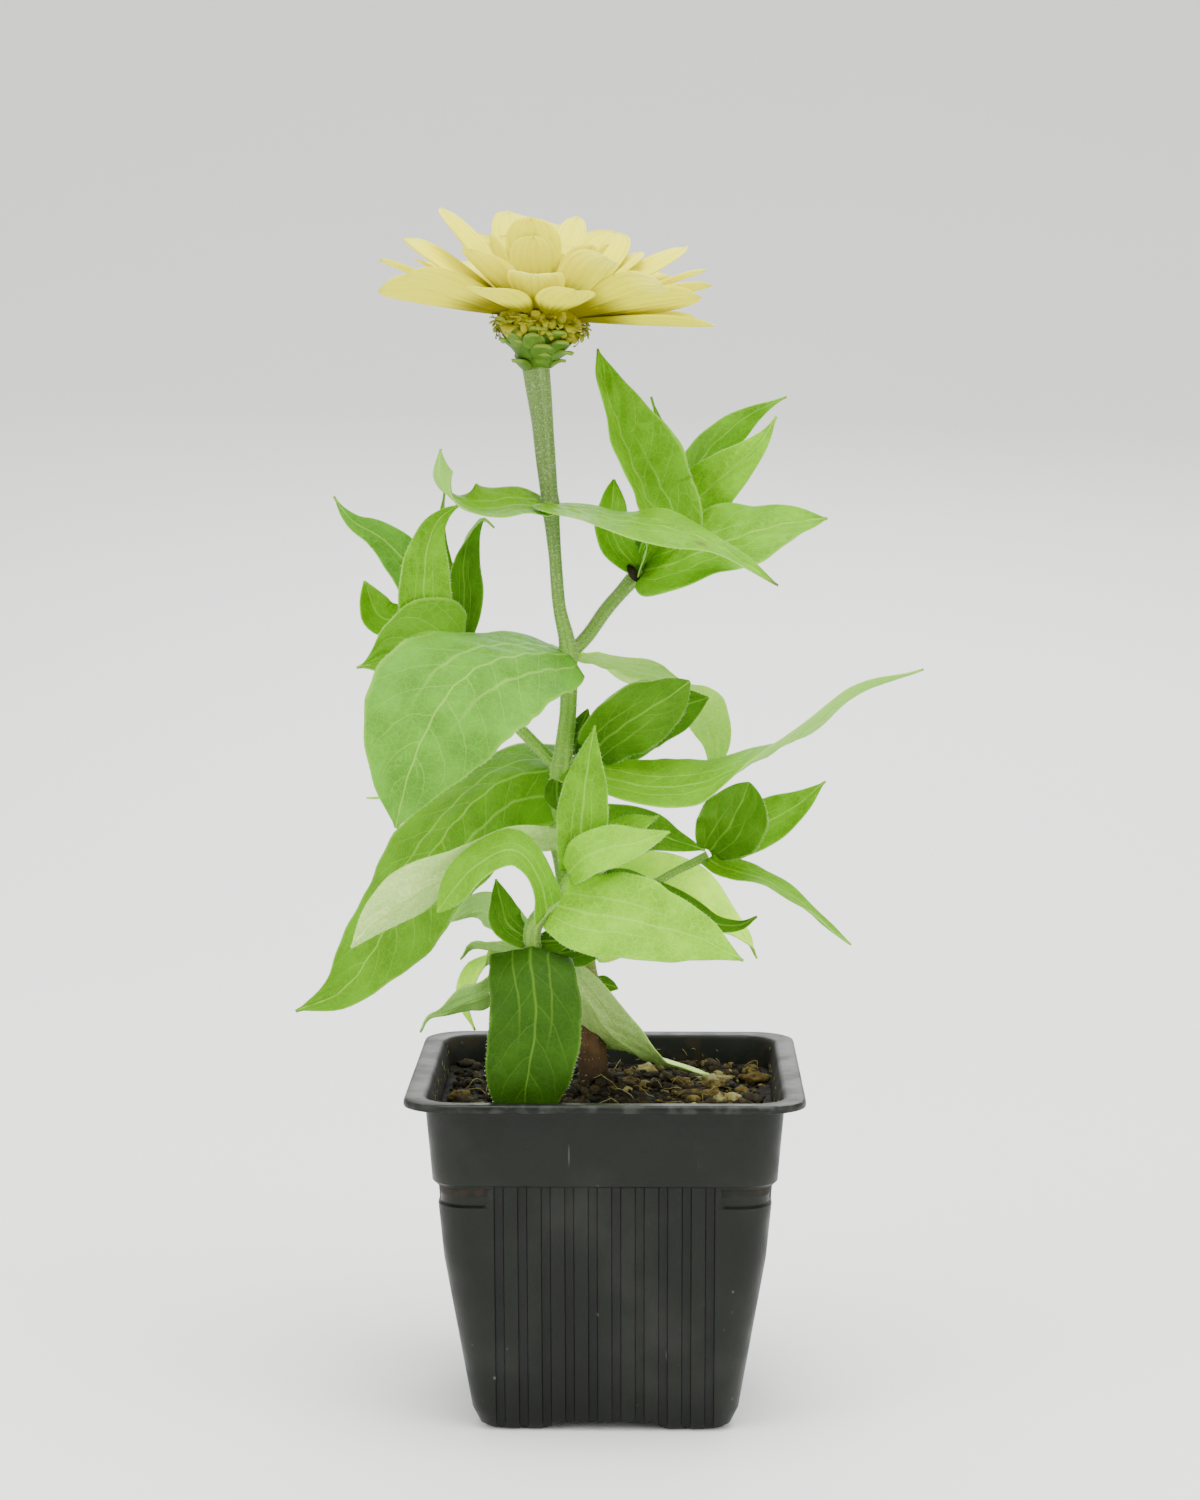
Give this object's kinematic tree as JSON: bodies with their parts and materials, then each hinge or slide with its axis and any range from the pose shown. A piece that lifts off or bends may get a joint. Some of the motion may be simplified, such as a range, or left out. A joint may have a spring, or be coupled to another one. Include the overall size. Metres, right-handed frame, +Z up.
{
  "type": "potted flowering plant",
  "caption": "Leafy zinnia plant with one double yellow bloom, in a square nursery pot of soil.",
  "frame": {"origin": "centre of the object's footprint, at the bottom of the pot's four feet", "axes": "+Z up along the stem, -Y towards the front side of the pot, +X to the right of it"},
  "size_m": [0.1462, 0.09, 0.278],
  "materials": {
    "pot": "dark grey injection-moulded plastic, satin",
    "soil": "dark peat and bark compost with golden lumps, matt",
    "stem": "green hairy stem, browner near the soil",
    "leaf": "mid green, soft and slightly hairy",
    "light_leaf": "light yellow-green, soft",
    "bract": "green bracts with a brown-yellow edge, matt",
    "petal": "pale lemon yellow, matt and slightly translucent",
    "disc": "golden brown florets, matt"
  },
  "bodies": {
    "root": {"pot": "pot", "soil": "soil", "main_stem": "stem", "right_shoot_stem": "stem", "left_shoot_stem": "stem", "front_shoot_stem": "stem", "low_shoot_stem": "stem", "middle_shoot_stem": "stem", "top_right_leaf": "leaf", "top_left_leaf": "leaf", "upper_left_leaf": "leaf", "upper_back_leaf": "leaf", "middle_left_leaf": "leaf", "middle_right_leaf": "leaf", "lower_left_leaf": "light_leaf", "hidden_left_leaf": "leaf", "lower_back_leaf": "light_leaf", "right_shoot_leaf_1": "leaf", "right_shoot_leaf_2": "leaf", "right_shoot_leaf_3": "leaf", "right_shoot_leaf_4": "leaf", "right_shoot_leaf_5": "leaf", "left_shoot_leaf_1": "leaf", "left_shoot_leaf_2": "leaf", "left_shoot_leaf_3": "leaf", "left_shoot_leaf_4": "leaf", "left_shoot_leaf_5": "leaf", "middle_shoot_leaf_1": "leaf", "middle_shoot_leaf_2": "leaf", "front_shoot_leaf_1": "light_leaf", "front_shoot_leaf_2": "light_leaf", "front_shoot_leaf_3": "light_leaf", "front_shoot_leaf_4": "light_leaf", "front_shoot_leaf_5": "light_leaf", "front_shoot_leaf_6": "light_leaf", "front_shoot_leaf_7": "light_leaf", "front_shoot_leaf_8": "light_leaf", "front_shoot_leaf_9": "light_leaf", "front_shoot_leaf_10": "light_leaf", "front_shoot_leaf_11": "light_leaf", "front_shoot_leaf_12": "light_leaf", "front_shoot_leaf_13": "light_leaf", "low_shoot_leaf_1": "leaf", "low_shoot_leaf_2": "leaf", "low_shoot_leaf_3": "leaf", "low_shoot_leaf_4": "leaf", "involucre": "bract", "ray_petals": "petal", "flower_disc": "disc"}
  },
  "joints": []
}
